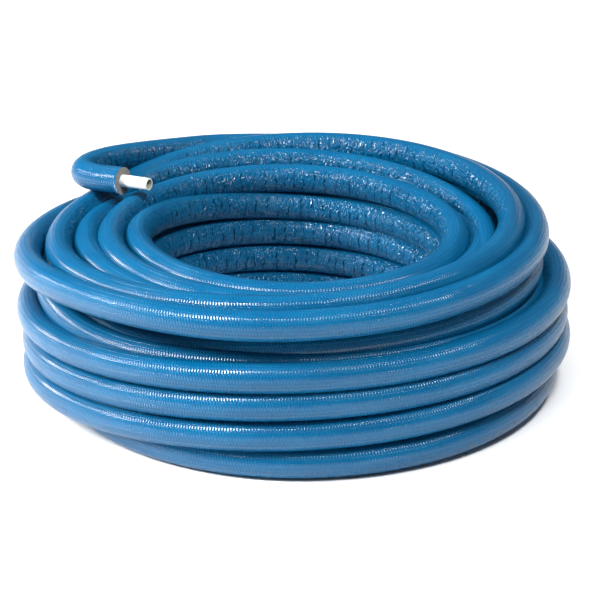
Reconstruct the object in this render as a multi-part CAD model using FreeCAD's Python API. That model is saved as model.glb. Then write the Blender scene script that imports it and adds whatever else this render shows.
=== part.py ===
import FreeCAD, Part
import math
import os

# Coil of foam-insulated multilayer pipe, lying flat on its end. Millimetres, +Z up.
# Origin: the coil's axis on the floor. +Y is towards the back, where the last turn leaves the coil.

# the pipe and its insulation
pipeDiameter = 16.0       # outside of the carrier pipe
pipeWall = 2.0
foamThickness = 9.75      # foam with its film, from the sleeve's bore to the outside
sleeveClearance = 0.25    # radial room between the carrier pipe and the sleeve

# the winding
turnRows = 6              # turns on each other
turnColumns = 5           # turns beside each other
boreRadius = 185.0        # free radius inside the innermost turns
rowPitch = 35.0           # turn to turn upwards
columnPitch = 34.0        # turn to turn outwards, where the foam is squeezed a little
grooveAngle = 66.0        # how far round each turn shows before the groove beside it, in degrees
restFlat = 8.0            # width that the foam flattens to where a turn rests on the floor

# the bed in the outermost top turn, out of which the last turn rises
bedStart = 96.0           # degrees from +X, anticlockwise seen from above
bedEnd = 150.0

# the loose end
bareLength = 41.0         # carrier pipe past the foam's cut face
riseClearance = 0.3       # room between the loose end and the turns that it lies on

# sizes that follow from those above
pipeRadius = pipeDiameter / 2
sleeveBore = pipeRadius + sleeveClearance
turnRadius = sleeveBore + foamThickness
restDrop = turnRadius - math.sqrt(turnRadius ** 2 - (restFlat / 2) ** 2)
firstRowHeight = turnRadius - restDrop
topRowHeight = firstRowHeight + (turnRows - 1) * rowPitch
innerRadius = boreRadius + turnRadius
outerRadius = innerRadius + (turnColumns - 1) * columnPitch


def sectionPoint(centre, angle):
    """Point on a turn's round section, in the XZ half plane that is turned about Z."""
    turn = math.radians(angle)
    return FreeCAD.Vector(centre[0] + turnRadius * math.cos(turn), 0,
                          centre[1] + turnRadius * math.sin(turn))


def roundEdge(centre, start, end):
    middle = sectionPoint(centre, (start + end) / 2)
    return Part.Arc(sectionPoint(centre, start), middle, sectionPoint(centre, end)).toShape()


def shownStretches(row, column):
    """The stretches of a turn's section that show on the outline, as (start, end) angles."""
    sides = []
    if column == turnColumns - 1:
        sides.append(0.0)
    if row == turnRows - 1:
        sides.append(90.0)
    if column == 0:
        sides.append(180.0)
    if row == 0:
        sides.append(270.0)
    if sides == [0.0, 270.0]:
        sides = [270.0, 360.0]
    first, last = min(sides), max(sides)
    return first - grooveAngle, last + grooveAngle


def outlineTurns():
    """(row, column) of the turns round the outline, anticlockwise from the outer bottom one."""
    outer = [(row, turnColumns - 1) for row in range(turnRows)]
    top = [(turnRows - 1, column) for column in range(turnColumns - 2, -1, -1)]
    bore = [(row, 0) for row in range(turnRows - 2, -1, -1)]
    bottom = [(0, column) for column in range(1, turnColumns - 1)]
    return outer + top + bore + bottom


def turnCentre(row, column):
    return innerRadius + column * columnPitch, firstRowHeight + row * rowPitch


def woundProfile():
    edges = []
    flatAngle = math.degrees(math.asin(restFlat / 2 / turnRadius))
    for row, column in outlineTurns():
        centre = turnCentre(row, column)
        start, end = shownStretches(row, column)
        stretches = [(start, end)]
        if row == 0:
            stretches = [(start, 270.0 - flatAngle), (270.0 + flatAngle, end)]
        for low, high in stretches:
            edge = roundEdge(centre, low, high)
            if edges:
                edges.append(Part.LineSegment(lastPoint, sectionPoint(centre, low)).toShape())
            edges.append(edge)
            lastPoint = sectionPoint(centre, high)
    edges.append(Part.LineSegment(lastPoint, edges[0].Vertexes[0].Point).toShape())
    return Part.Face(Part.Wire(Part.sortEdges(edges)[0]))


def lastTurnBed():
    """The room in the outermost top turn where the loose end starts: a ring sector over that turn."""
    low = topRowHeight - turnRadius - riseClearance
    inner = outerRadius - turnRadius - riseClearance
    size = 3 * turnRadius
    corners = [(inner, low), (inner + size, low), (inner + size, low + size), (inner, low + size)]
    outline = Part.makePolygon([FreeCAD.Vector(x, 0, z) for x, z in corners + corners[:1]])
    sector = Part.Face(outline).revolve(FreeCAD.Vector(0, 0, 0), FreeCAD.Vector(0, 0, 1),
                                        bedEnd - bedStart)
    sector.rotate(FreeCAD.Vector(0, 0, 0), FreeCAD.Vector(0, 0, 1), bedStart)
    return sector


def ringPoint(angle, inset, lift):
    """Route point near the outermost top turn: inset towards the axis, lift above its centre."""
    turn = math.radians(angle)
    radius = outerRadius - inset
    return FreeCAD.Vector(radius * math.cos(turn), radius * math.sin(turn), topRowHeight + lift)


def looseRoute():
    """Route of the loose end: straight out of the bed, up over the top turns and curling inwards."""
    crest = 2 * turnRadius + riseClearance
    straightTurn = 10.0
    straightRadius = outerRadius / math.cos(math.radians(straightTurn))
    return [ringPoint(bedStart, 0, 0),
            ringPoint(bedStart + straightTurn, outerRadius - straightRadius, 0),
            ringPoint(117, -4, 7), ringPoint(128, 4, 24), ringPoint(138, 13, crest + 2),
            ringPoint(146, 17, crest + 1), ringPoint(151.8, 26, crest + 1),
            ringPoint(154.5, 48, crest + 2), ringPoint(155.2, 74, crest + 3),
            ringPoint(157, 136, crest + 6)]


def routeEdges(points):
    """Straight runs joined by tangent arcs, each arc as large as its two runs allow."""
    edges = []
    radii = []
    here = points[0]
    for before, corner, after in zip(points, points[1:], points[2:]):
        incoming, outgoing = corner - before, after - corner
        half = incoming.getAngle(outgoing) / 2
        reach = 0.45 * min(incoming.Length, outgoing.Length)
        radius = reach / math.tan(half)
        incoming.normalize()
        outgoing.normalize()
        start, end = corner - incoming * reach, corner + outgoing * reach
        inward = outgoing - incoming
        inward.normalize()
        middle = corner + inward * (radius / math.cos(half) - radius)
        edges.append(Part.LineSegment(here, start).toShape())
        edges.append(Part.Arc(start, middle, end).toShape())
        here = end
        radii.append(radius)
    edges.append(Part.LineSegment(here, points[-1]).toShape())
    return edges, radii


def sweptRound(edges, radius):
    path = Part.Wire(edges)
    start = edges[0].Vertexes[0].Point
    heading = edges[0].Vertexes[1].Point - start
    section = Part.Wire(Part.Circle(start, heading, radius).toShape())
    return path.makePipeShell([section], True, False), path.Length


def tubeAlong(edges, outer, inner):
    body, length = sweptRound(edges, outer)
    hole, _ = sweptRound(edges, inner)
    tube = body.cut(hole)
    expected = math.pi * (outer ** 2 - inner ** 2) * length
    print("tube volume over section times length: %.4f" % (tube.Volume / expected))
    return tube


def sleevePath(edges):
    """The pipe's path as far as the foam's cut face, which is square to the last run."""
    start, end = (vertex.Point for vertex in edges[-1].Vertexes)
    back = start - end
    back.normalize()
    return edges[:-1] + [Part.LineSegment(start, end + back * bareLength).toShape()]


os.makedirs("parts", exist_ok=True)

woundCoil = woundProfile().revolve(FreeCAD.Vector(0, 0, 0), FreeCAD.Vector(0, 0, 1), 360)
woundCoil = woundCoil.cut(lastTurnBed())

route = looseRoute()
pipeEdges, pipeRadii = routeEdges(route)
print("run lengths:", [round((b - a).Length, 1) for a, b in zip(route, route[1:])])
print("arc radii:", [round(radius, 1) for radius in pipeRadii])
straightStart, pipeEnd = (vertex.Point for vertex in pipeEdges[-1].Vertexes)
heading = (pipeEnd - straightStart).normalize()
print("pipe end:", pipeEnd, "heading:", heading, "straight:", round(pipeEdges[-1].Length, 2))

carrierPipe = tubeAlong(pipeEdges, pipeRadius, pipeRadius - pipeWall)
foamSleeve = tubeAlong(sleevePath(pipeEdges), turnRadius, sleeveBore)

nodes = {"wound_coil": woundCoil, "foam_sleeve": foamSleeve, "carrier_pipe": carrierPipe}
for name, shape in nodes.items():
    shape.exportStep("parts/%s.step" % name)
    box = shape.BoundBox
    print(name, shape.isValid(), len(shape.Solids), round(shape.Volume / 1000.0, 1), "cm3",
          [round(v, 1) for v in (box.XMin, box.YMin, box.ZMin, box.XMax, box.YMax, box.ZMax)])
print("wound coil overlaps sleeve:", round(woundCoil.common(foamSleeve).Volume, 3), "mm3")
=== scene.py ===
import math

import bmesh
import bpy
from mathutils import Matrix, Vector


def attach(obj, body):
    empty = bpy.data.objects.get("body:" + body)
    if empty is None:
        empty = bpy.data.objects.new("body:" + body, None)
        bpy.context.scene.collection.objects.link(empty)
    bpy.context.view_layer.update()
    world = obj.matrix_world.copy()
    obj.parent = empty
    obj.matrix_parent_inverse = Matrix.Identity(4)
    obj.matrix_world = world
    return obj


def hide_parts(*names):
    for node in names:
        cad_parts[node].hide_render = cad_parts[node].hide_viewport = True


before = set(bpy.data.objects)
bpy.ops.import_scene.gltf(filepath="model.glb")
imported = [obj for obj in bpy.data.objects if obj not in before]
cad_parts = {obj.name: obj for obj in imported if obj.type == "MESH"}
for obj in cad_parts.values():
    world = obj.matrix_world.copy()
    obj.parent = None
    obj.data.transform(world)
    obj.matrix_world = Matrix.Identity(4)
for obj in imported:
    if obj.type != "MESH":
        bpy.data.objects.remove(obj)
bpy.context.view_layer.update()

mm = 0.001


# camera
cameraLook = {"elevation": 21.1, "distance": 4.0, "lens": 187.2, "aside": 7.7 * mm, "aimHeight": 105.5 * mm}


def placeCamera(look):
    tilt = math.radians(look["elevation"])
    camera = bpy.data.objects.new("camera", bpy.data.cameras.new("camera"))
    camera.data.lens = look["lens"]
    camera.data.sensor_width = 36.0
    camera.data.clip_end = 50.0
    camera.location = (look["aside"], -look["distance"] * math.cos(tilt),
                       look["aimHeight"] + look["distance"] * math.sin(tilt))
    camera.rotation_euler = (math.pi / 2 - tilt, 0, 0)
    bpy.context.scene.collection.objects.link(camera)
    bpy.context.scene.camera = camera


placeCamera(cameraLook)
print("camera placed")


# the pipe's route
# Each row is one turn, anticlockwise from the left: (radius, height) of its centre, in millimetres, at the
# left, the front, the right and the back.
winding = {
    "firstAngle": 180.0,
    "pointsPerQuarter": 6,
    "turns": [
        # innermost column, upwards: the bore's wall
        [(201, 19), (203, 19), (203, 19), (203, 20)],
        [(202, 38), (202, 40), (202, 42), (202, 53)],
        [(202, 68), (202, 74), (202, 79), (202, 90)],
        [(202, 106), (202, 112), (202, 117), (202, 128)],
        [(202, 143), (202, 149), (202, 152), (202, 163)],
        [(198, 192), (202, 187), (206, 190), (203, 201)],
        # second column, from the top down
        [(232, 195), (236, 186), (236, 180), (236, 163)],
        [(237, 152), (237, 149), (237, 142), (237, 128)],
        [(237, 116), (237, 112), (237, 104), (237, 90)],
        [(237, 80), (237, 74), (237, 66), (237, 53)],
        [(237, 42), (237, 37), (237, 30), (237, 20)],
        [(240, 19), (255, 19), (268, 19), (270, 19)],
        # third column, upwards, and one turn that rides on it
        [(270, 22), (270, 30), (270, 40), (270, 53)],
        [(270, 60), (270, 67), (270, 77), (270, 90)],
        [(270, 98), (270, 104), (270, 114), (270, 127)],
        [(270, 135), (270, 141), (270, 150), (270, 160)],
        [(263, 187), (254, 176), (245, 183), (262, 204)],
        [(298, 188), (288, 204), (276, 217), (296, 214)],
        # fourth column, down again
        [(280, 169), (290, 158), (300, 166), (292, 182)],
        [(312, 150), (302, 141), (305, 128), (305, 113)],
        [(305, 108), (302, 104), (305, 92), (305, 76)],
        [(305, 70), (302, 66), (305, 55), (305, 40)],
        [(300, 26), (285, 19), (285, 19), (285, 19)],
        # outermost column, upwards
        [(285, 19), (318, 19), (322, 28), (332, 30)],
        [(331, 30), (322, 57), (337, 68), (336, 66)],
        [(331, 64), (322, 96), (333, 101), (336, 103)],
        [(337, 105), (322, 131), (336, 138), (338, 149)],
        [(339, 169), (321, 196), (306, 204), (328, 206)],
    ],
    # humps between the stations: (station counted from the first, reach in stations, rise)
    "humps": [(71.5, 0.35, 8), (72.5, 0.35, -28), (76.45, 0.4, -16), (108.42, 0.34, 12)],
    # the loose end: (x, y, height) in millimetres
    "looseEnd": [(-93, 309, 211), (-166, 266, 218), (-214, 233, 223), (-252, 204, 226), (-275, 172, 227),
                 (-276, 142, 228), (-255, 121, 229), (-222.1, 100.2, 232.9), (-186.9, 79.3, 234.85)],
}


# smooth value between start and end, with the slopes that their neighbours give
def blend(before, start, end, after, share):
    rise = (end - before) / 2
    fall = (after - start) / 2
    a = 2 * start - 2 * end + rise + fall
    b = -3 * start + 3 * end - 2 * rise - fall
    return ((a * share + b) * share + rise) * share + start


def routePoints(values):
    stations = [station for turn in values["turns"] for station in turn]
    perQuarter = values["pointsPerQuarter"]
    # the spline cuts inside its points by this much
    outward = 1 / math.cos(math.pi / (4 * perQuarter))
    points = []
    for index in range(len(stations) - 1):
        around = [stations[max(0, min(len(stations) - 1, index + step))] for step in (-1, 0, 1, 2)]
        for part in range(perQuarter):
            share = part / perQuarter
            radius, height = (blend(*(station[k] for station in around), share) for k in (0, 1))
            height += sum(rise * math.exp(-((index + share - middle) / reach) ** 2)
                          for middle, reach, rise in values["humps"])
            angle = math.radians(values["firstAngle"] + 90 * (index + share))
            radius *= outward
            points.append(Vector((radius * math.cos(angle), radius * math.sin(angle), height)) * mm)
    return points + [Vector(point) * mm for point in values["looseEnd"]]


def makeRoute(points):
    curve = bpy.data.curves.new("pipe_route", "CURVE")
    curve.dimensions = "3D"
    curve.resolution_u = 6
    spline = curve.splines.new("NURBS")
    spline.points.add(len(points) - 1)
    for slot, point in zip(spline.points, points):
        slot.co = (*point, 1)
    spline.order_u = 3
    spline.use_endpoint_u = True
    holder = bpy.data.objects.new("pipe_route", curve)
    bpy.context.scene.collection.objects.link(holder)
    line = bpy.data.meshes.new_from_object(holder.evaluated_get(bpy.context.evaluated_depsgraph_get()))
    places = [vertex.co.copy() for vertex in line.vertices]
    bpy.data.objects.remove(holder)
    bpy.data.meshes.remove(line)
    return places


route = makeRoute(routePoints(winding))
along = [0.0]
for before, after in zip(route, route[1:]):
    along.append(along[-1] + (after - before).length)
pipeLength = along[-1]
print("route made, %.2f m of pipe" % pipeLength)


# point and heading of the route at a distance along it
def placeAt(distance):
    low, high = 0, len(along) - 1
    while high - low > 1:
        middle = (low + high) // 2
        if along[middle] <= distance:
            low = middle
        else:
            high = middle
    share = (distance - along[low]) / (along[high] - along[low])
    point = route[low].lerp(route[high], share)
    first, last = route[max(0, low - 1)], route[min(len(route) - 1, high + 1)]
    heading = (last - first).normalized()
    return point, heading


# the two directions across the pipe: towards the coil's axis, and up
def sides(heading):
    inward = Vector((0, 0, 1)).cross(heading).normalized()
    return inward, heading.cross(inward).normalized()


# the insulated pipe
insulatedPipe = {
    "halfAcross": 17.7 * mm, "halfUp": 19.0 * mm,    # a wound turn's section, pressed by its neighbours
    "halfLoose": 18.0 * mm, "loosening": (0.55, 0.25),    # round again over this stretch before the end
    "segments": 24, "hole": 8.3 * mm, "holeDepth": 30 * mm, "filmEdge": 0.6 * mm,
    "bareLength": 41 * mm,
}


# rings of points along the route, as far as the foam's cut face
def makeRings(values):
    faceAt = pipeLength - values["bareLength"]
    distances = [distance for distance in along if distance < faceAt - 2 * mm] + [faceAt]
    rings = []
    count = values["segments"]
    for distance in distances:
        point, heading = placeAt(distance)
        inward, up = sides(heading)
        loose = min(1, max(0, (distance - pipeLength + values["loosening"][0]) / values["loosening"][1]))
        across = values["halfAcross"] + loose * (values["halfLoose"] - values["halfAcross"])
        upward = values["halfUp"] + loose * (values["halfLoose"] - values["halfUp"])
        ring = []
        for step in range(count):
            # step 0 is the underside, then the outer side, the top and the side facing the axis
            angle = 2 * math.pi * step / count
            side, lift = -math.sin(angle), -math.cos(angle)
            place = point + inward * (side * across) + up * (lift * upward)
            place.z = max(place.z, 0.0)
            ring.append(place)
        rings.append((distance, ring))
    return rings


def makeInsulatedPipe(values):
    rings = makeRings(values)
    count = values["segments"]
    mesh = bpy.data.meshes.new("insulated_pipe")
    bm = bmesh.new()
    made = [[bm.verts.new(place) for place in ring] for _, ring in rings]
    mapping = bm.loops.layers.uv.new("wrap")
    for index in range(len(rings) - 1):
        low, high = rings[index][0], rings[index + 1][0]
        for step in range(count):
            turn = (step + 1) % count
            face = bm.faces.new((made[index][step], made[index][turn],
                                 made[index + 1][turn], made[index + 1][step]))
            face.smooth = True
            for loop, uv in zip(face.loops, ((low, step), (low, step + 1), (high, step + 1), (high, step))):
                loop[mapping].uv = (uv[0], uv[1] / count)
    # the cut ends: foam, with a hole for the carrier pipe
    for ring, ending in ((made[0], 0), (made[-1], 1)):
        cap = bm.faces.new(ring if ending else list(reversed(ring)))
        cap.material_index = 1
        heading = placeAt(rings[-1][0] if ending else 0.0)[1]
        middle = sum((vert.co for vert in ring), Vector()) / count
        bmesh.ops.inset_region(bm, faces=[cap], thickness=values["filmEdge"], depth=0.0)
        foamLeft = values["halfLoose"] - values["hole"] - values["filmEdge"]
        bmesh.ops.inset_region(bm, faces=[cap], thickness=foamLeft, depth=0.0)
        for vert in cap.verts:
            away = vert.co - middle
            vert.co = middle + away.normalized() * values["hole"]
        pushed = bmesh.ops.extrude_face_region(bm, geom=[cap])
        inner = [item for item in pushed["geom"] if isinstance(item, bmesh.types.BMVert)]
        bmesh.ops.translate(bm, verts=inner, vec=heading * values["holeDepth"] * (-1 if ending else 1))
        bmesh.ops.delete(bm, geom=[cap], context="FACES_ONLY")
    bm.normal_update()
    bmesh.ops.recalc_face_normals(bm, faces=bm.faces)
    bm.to_mesh(mesh)
    bm.free()
    pipe = bpy.data.objects.new("insulated_pipe", mesh)
    bpy.context.scene.collection.objects.link(pipe)
    return pipe


# the bare end of the carrier pipe
bareEnd = {"radius": 8 * mm, "bore": 6 * mm, "rim": 0.4 * mm, "inside": 29 * mm, "segments": 48}


# the bare pipe's end and heading, from the last two points of the loose end
def stubAxis():
    last, before = (Vector(winding["looseEnd"][index]) * mm for index in (-1, -2))
    return last, (last - before).normalized()


# a tube turned about its own axis, with a softened rim, then laid on the route's last run
def makeBareEnd(values):
    outside, bore, rim = values["radius"], values["bore"], values["rim"]
    back = -insulatedPipe["bareLength"] - values["inside"]
    profile = [(bore, back), (outside, back), (outside, -rim),
               (outside - rim, 0), (bore + rim, 0), (bore, -rim)]
    bm = bmesh.new()
    verts = [bm.verts.new((radius, 0, along)) for radius, along in profile]
    edges = [bm.edges.new((verts[index], verts[(index + 1) % len(verts)])) for index in range(len(verts))]
    bmesh.ops.spin(bm, geom=verts + edges, cent=(0, 0, 0), axis=(0, 0, 1), angle=2 * math.pi,
                   steps=values["segments"], use_merge=True)
    bmesh.ops.remove_doubles(bm, verts=bm.verts, dist=0.01 * mm)
    bmesh.ops.recalc_face_normals(bm, faces=bm.faces)
    end, heading = stubAxis()
    bmesh.ops.rotate(bm, verts=bm.verts, cent=(0, 0, 0), matrix=heading.to_track_quat("Z", "Y").to_matrix())
    bmesh.ops.translate(bm, verts=bm.verts, vec=end)
    for face in bm.faces:
        face.smooth = True
    for edge in bm.edges:
        if len(edge.link_faces) == 2 and edge.calc_face_angle() > math.radians(35):
            edge.smooth = False
    mesh = bpy.data.meshes.new("carrier_end")
    bm.to_mesh(mesh)
    bm.free()
    tube = bpy.data.objects.new("carrier_end", mesh)
    bpy.context.scene.collection.objects.link(tube)
    return tube


pipe = makeInsulatedPipe(insulatedPipe)
carrier = makeBareEnd(bareEnd)
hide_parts("carrier_pipe")
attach(carrier, "root")
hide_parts("wound_coil", "foam_sleeve")
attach(pipe, "root")
print("insulated pipe made, %d triangles" % sum(len(face.vertices) - 2 for face in pipe.data.polygons))


# materials
def newMaterial(name):
    material = bpy.data.materials.new(name)
    material.use_nodes = True
    tree = material.node_tree
    return material, tree, tree.nodes["Principled BSDF"]


def feed(tree, socket, value):
    if isinstance(value, bpy.types.NodeSocket):
        tree.links.new(value, socket)
    elif value is not None:
        socket.default_value = value


def maths(tree, operation, first, second=None):
    node = tree.nodes.new("ShaderNodeMath")
    node.operation = operation
    for socket, value in zip(node.inputs, (first, second)):
        feed(tree, socket, value)
    return node.outputs[0]


def ramp(tree, value, low, high, start=0.0, end=1.0):
    node = tree.nodes.new("ShaderNodeMapRange")
    node.interpolation_type = "SMOOTHSTEP"
    settings = {"Value": value, "From Min": low, "From Max": high, "To Min": start, "To Max": end}
    for name, setting in settings.items():
        feed(tree, node.inputs[name], setting)
    return node.outputs[0]


def mixColour(tree, share, first, second):
    node = tree.nodes.new("ShaderNodeMix")
    node.data_type = "RGBA"
    feed(tree, node.inputs[0], share)
    feed(tree, node.inputs[6], first)
    feed(tree, node.inputs[7], second)
    return node.outputs[2]


def combine(tree, x, y, z=0.0):
    node = tree.nodes.new("ShaderNodeCombineXYZ")
    for socket, value in zip(node.inputs, (x, y, z)):
        feed(tree, socket, value)
    return node.outputs[0]


def noise(tree, place, scale, detail=2.0, rough=0.5):
    node = tree.nodes.new("ShaderNodeTexNoise")
    feed(tree, node.inputs["Vector"], place)
    node.inputs["Scale"].default_value = scale
    node.inputs["Detail"].default_value = detail
    node.inputs["Roughness"].default_value = rough
    return node.outputs[0]


def voronoi(tree, place, feature="F1", jitter=1.0, dimensions="3D"):
    node = tree.nodes.new("ShaderNodeTexVoronoi")
    node.voronoi_dimensions = dimensions
    node.feature = feature
    feed(tree, node.inputs["W" if dimensions == "1D" else "Vector"], place)
    node.inputs["Scale"].default_value = 1.0
    node.inputs["Randomness"].default_value = jitter
    return node.outputs["Distance"]


def bump(tree, height, strength, distance, normal=None):
    node = tree.nodes.new("ShaderNodeBump")
    node.inputs["Strength"].default_value = strength
    node.inputs["Distance"].default_value = distance
    feed(tree, node.inputs["Height"], height)
    feed(tree, node.inputs["Normal"], normal)
    return node.outputs[0]


# the darkest blue is painted shade for the film's folds, wrinkles, slack lines and rib grooves
filmLook = {
    "blue": (0.001, 0.089, 0.212, 1), "creaseShade": (0.001, 0.014, 0.05, 1), "pale": (0.002, 0.112, 0.250, 1),
    "rough": 0.19, "shine": 0.36,
    "girth": 113 * mm,
    "ribPitch": 3.6 * mm, "ribHeight": 0.55 * mm, "dash": 5.5 * mm, "dashShift": 0.37,
    "foldPitch": 15 * mm, "foldWander": 10 * mm, "foldDepth": 1.8 * mm,
    "wrinklePitch": 4.5 * mm, "wrinkleDepth": 1.3 * mm,
    "slackLines": 5.0, "slackDepth": 0.35 * mm, "unevenDepth": 2.0 * mm,
}
foamLook = {"grey": (0.30, 0.28, 0.26, 1), "dark": (0.13, 0.12, 0.11, 1), "rough": 0.9, "cell": 1.1 * mm}
pipeLook = {
    "white": (0.84, 0.86, 0.85, 1), "dusty": (0.55, 0.56, 0.55, 1), "inside": (0.42, 0.42, 0.32, 1),
    "rough": 0.38, "insideWithin": 6.6 * mm, "grain": 900.0,
}


# embossed film: fine ribs across the pipe in rows of dashes, and folds on the side facing the axis; their
# grooves are darkened with painted shade
def makeFilm(look):
    material, tree, shader = newMaterial("film")
    uv = tree.nodes.new("ShaderNodeUVMap")
    uv.uv_map = "wrap"
    split = tree.nodes.new("ShaderNodeSeparateXYZ")
    tree.links.new(uv.outputs[0], split.inputs[0])
    distance, share = split.outputs[0], split.outputs[1]
    around = maths(tree, "MULTIPLY", share, look["girth"])

    # rows of dashes: neighbouring rows are shifted, and a thin line parts them
    row = maths(tree, "DIVIDE", around, look["dash"])
    rowNumber = maths(tree, "FLOOR", row)
    rowPlace = maths(tree, "FRACT", row)
    shift = maths(tree, "MULTIPLY", rowNumber, look["dashShift"])
    ribCount = maths(tree, "ADD", maths(tree, "DIVIDE", distance, look["ribPitch"]), shift)
    ribPlace = maths(tree, "FRACT", ribCount)
    rib = maths(tree, "SINE", maths(tree, "MULTIPLY", ribPlace, math.pi))
    rowEdge = maths(tree, "PINGPONG", rowPlace, 0.5)
    rowLine = ramp(tree, rowEdge, 0.02, 0.14)
    ribs = maths(tree, "MULTIPLY", rib, rowLine)

    # the side that faces the axis, share 0.75, is pressed together by the bend
    fromInside = maths(tree, "ABSOLUTE", maths(tree, "SUBTRACT", share, 0.75))
    inner = ramp(tree, fromInside, 0.26, 0.10)
    innermost = ramp(tree, fromInside, 0.20, 0.04)
    wander = noise(tree, combine(tree, maths(tree, "MULTIPLY", distance, 55.0),
                                 maths(tree, "MULTIPLY", share, 15.0)), 1.0, 2.0)
    offset = maths(tree, "MULTIPLY", maths(tree, "SUBTRACT", wander, 0.5), look["foldWander"])
    bent = maths(tree, "ADD", distance, offset)
    folds = voronoi(tree, maths(tree, "DIVIDE", bent, look["foldPitch"]), "DISTANCE_TO_EDGE", 0.8, "1D")
    patches = noise(tree, combine(tree, maths(tree, "MULTIPLY", distance, 45.0),
                                  maths(tree, "MULTIPLY", share, 7.0), 4.0), 1.0, 1.0)
    reach = maths(tree, "MULTIPLY", innermost, ramp(tree, patches, 0.38, 0.55))
    deepFold = maths(tree, "MULTIPLY", ramp(tree, folds, 0.0, 0.085, 1.0, 0.0), reach)
    wrinkles = voronoi(tree, combine(tree, maths(tree, "DIVIDE", bent, look["wrinklePitch"]),
                                     maths(tree, "MULTIPLY", share, 13.0)), "DISTANCE_TO_EDGE", 0.85)
    wrinkle = maths(tree, "MULTIPLY", ramp(tree, wrinkles, 0.0, 0.35, 1.0, 0.0), inner)

    # lines of slack film along the pipe, and wide soft unevenness
    drift = noise(tree, combine(tree, maths(tree, "MULTIPLY", distance, 2.0), 0.3), 1.0, 1.0)
    lineWander = maths(tree, "MULTIPLY", drift, 0.16)
    linePlace = maths(tree, "ADD", maths(tree, "MULTIPLY", share, look["slackLines"]), lineWander)
    lines = voronoi(tree, linePlace, "F1", 0.8, "1D")
    slack = ramp(tree, lines, 0.0, 0.035, 1.0, 0.0)
    uneven = noise(tree, combine(tree, maths(tree, "MULTIPLY", distance, 12.0),
                                 maths(tree, "MULTIPLY", share, 5.0)), 1.0, 3.0, 0.55)

    tone = mixColour(tree, ramp(tree, uneven, 0.3, 0.75), look["blue"], look["pale"])
    # painted shade: the dark blue is mixed into the slack lines, the deep folds and the wrinkles, where
    # their grooves would fall into shade
    tone = mixColour(tree, maths(tree, "MULTIPLY", slack, 0.22), tone, look["creaseShade"])
    tone = mixColour(tree, maths(tree, "MULTIPLY", deepFold, 0.75), tone, look["creaseShade"])
    tone = mixColour(tree, maths(tree, "MULTIPLY", wrinkle, 0.1), tone, look["creaseShade"])
    # painted shade in the grooves between the ribs
    shadeBetweenRibs = maths(tree, "MULTIPLY", maths(tree, "SUBTRACT", 1.0, ribs), 0.16)
    tone = mixColour(tree, shadeBetweenRibs, tone, look["creaseShade"])
    feed(tree, shader.inputs["Base Color"], tone)
    rough = ramp(tree, uneven, 0.3, 0.7, look["rough"] - 0.05, look["rough"] + 0.06)
    rough = maths(tree, "SUBTRACT", rough, maths(tree, "MULTIPLY", inner, 0.08))
    feed(tree, shader.inputs["Roughness"], rough)
    shader.inputs["Specular IOR Level"].default_value = look["shine"]

    normal = bump(tree, uneven, 0.6, look["unevenDepth"])
    normal = bump(tree, ribs, 0.9, look["ribHeight"], normal)
    normal = bump(tree, slack, 0.35, -look["slackDepth"], normal)
    normal = bump(tree, wrinkle, 1.0, -look["wrinkleDepth"], normal)
    normal = bump(tree, deepFold, 1.0, -look["foldDepth"], normal)
    feed(tree, shader.inputs["Normal"], normal)
    return material


def makeFoam(look):
    material, tree, shader = newMaterial("foam")
    coordinates = tree.nodes.new("ShaderNodeTexCoord").outputs["Object"]
    scaled = tree.nodes.new("ShaderNodeVectorMath")
    scaled.operation = "SCALE"
    tree.links.new(coordinates, scaled.inputs[0])
    scaled.inputs["Scale"].default_value = 1 / look["cell"]
    cells = voronoi(tree, scaled.outputs[0])
    tone = mixColour(tree, ramp(tree, cells, 0.2, 0.65), look["dark"], look["grey"])
    feed(tree, shader.inputs["Base Color"], tone)
    feed(tree, shader.inputs["Roughness"], ramp(tree, cells, 0.1, 0.7, look["rough"] - 0.1, look["rough"]))
    feed(tree, shader.inputs["Normal"], bump(tree, cells, 0.7, 0.5 * mm))
    return material


# white outside; the bore is a yellowish grey, told apart by its distance from the tube's axis
def makePipeWhite(look):
    material, tree, shader = newMaterial("pipe_white")
    coordinates = tree.nodes.new("ShaderNodeTexCoord").outputs["Object"]
    end, heading = stubAxis()
    offset = tree.nodes.new("ShaderNodeVectorMath")
    offset.operation = "SUBTRACT"
    tree.links.new(coordinates, offset.inputs[0])
    offset.inputs[1].default_value = end
    crossed = tree.nodes.new("ShaderNodeVectorMath")
    crossed.operation = "CROSS_PRODUCT"
    tree.links.new(offset.outputs[0], crossed.inputs[0])
    crossed.inputs[1].default_value = heading
    length = tree.nodes.new("ShaderNodeVectorMath")
    length.operation = "LENGTH"
    tree.links.new(crossed.outputs[0], length.inputs[0])
    grain = noise(tree, coordinates, look["grain"], 3.0)
    inside = ramp(tree, length.outputs["Value"], look["insideWithin"], look["insideWithin"] - 0.4 * mm)
    tone = mixColour(tree, inside, look["white"], look["inside"])
    tone = mixColour(tree, ramp(tree, grain, 0.45, 0.75, 0.0, 0.12), tone, look["dusty"])
    feed(tree, shader.inputs["Base Color"], tone)
    feed(tree, shader.inputs["Roughness"], ramp(tree, grain, 0.3, 0.7, look["rough"], look["rough"] + 0.12))
    feed(tree, shader.inputs["Normal"], bump(tree, grain, 0.25, 0.15 * mm))
    return material


pipe.data.materials.append(makeFilm(filmLook))
pipe.data.materials.append(makeFoam(foamLook))
carrier.data.materials.append(makePipeWhite(pipeLook))
print("materials made")


# floor and light
stageLook = {
    "floor": (0.92, 0.92, 0.92, 1), "world": 0.14,
    "sky": 2.15, "skySpread": 60.0, "skyTurn": (14.0, -8.0),
    # each window: its name, place, width and height, and power
    "windows": [("window_left", (-2.8, -0.4, 1.7), (0.7, 1.0), 190),
                ("window_right", (0.8, -1.5, 2.7), (0.35, 0.7), 75)],
    "windowAim": (0, 0, 0.1),
}


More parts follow.
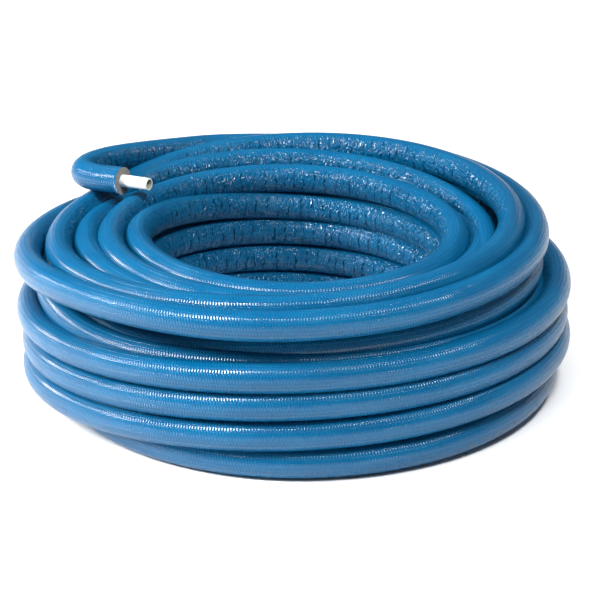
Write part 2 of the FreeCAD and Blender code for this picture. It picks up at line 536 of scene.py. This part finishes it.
def makeWindow(name, place, size, power, aim):
    lamp = bpy.data.lights.new(name, "AREA")
    lamp.shape = "RECTANGLE"
    lamp.size, lamp.size_y = size
    lamp.energy = power
    holder = bpy.data.objects.new(name, lamp)
    holder.location = place
    holder.rotation_euler = (Vector(aim) - Vector(place)).to_track_quat("-Z", "Y").to_euler()
    bpy.context.scene.collection.objects.link(holder)
    return holder


# a wide soft light from above that doesn't mirror in the film
def makeSky(look):
    lamp = bpy.data.lights.new("sky", "SUN")
    lamp.energy = look["sky"]
    lamp.angle = math.radians(look["skySpread"])
    holder = bpy.data.objects.new("sky", lamp)
    holder.rotation_euler = (math.radians(look["skyTurn"][0]), math.radians(look["skyTurn"][1]), 0)
    holder.visible_glossy = False
    bpy.context.scene.collection.objects.link(holder)
    return holder


# white where the camera sees it, and a faint even light for everything else
def makeWorld(look):
    world = bpy.data.worlds.new("studio")
    bpy.context.scene.world = world
    world.use_nodes = True
    tree = world.node_tree
    tree.nodes.clear()
    output = tree.nodes.new("ShaderNodeOutputWorld")
    mix = tree.nodes.new("ShaderNodeMixShader")
    lightPath = tree.nodes.new("ShaderNodeLightPath")
    soft = tree.nodes.new("ShaderNodeBackground")
    soft.inputs["Color"].default_value = (1, 1, 1, 1)
    soft.inputs["Strength"].default_value = look["world"]
    seen = tree.nodes.new("ShaderNodeBackground")
    seen.inputs["Color"].default_value = (1, 1, 1, 1)
    tree.links.new(lightPath.outputs["Is Camera Ray"], mix.inputs["Fac"])
    tree.links.new(soft.outputs[0], mix.inputs[1])
    tree.links.new(seen.outputs[0], mix.inputs[2])
    tree.links.new(mix.outputs[0], output.inputs[0])


def makeFloor(look):
    bpy.ops.mesh.primitive_plane_add(size=30, location=(0, 0, -0.5 * mm))
    floor = bpy.context.object
    floor.name = "floor"
    material, tree, shader = newMaterial("floor_white")
    shader.inputs["Base Color"].default_value = look["floor"]
    shader.inputs["Roughness"].default_value = 0.9
    floor.data.materials.append(material)
    return floor


makeWorld(stageLook)
floor = makeFloor(stageLook)
sky = makeSky(stageLook)
windows = [makeWindow(*window, stageLook["windowAim"]) for window in stageLook["windows"]]
bpy.context.scene.view_settings.view_transform = "Standard"
print("floor and light made")
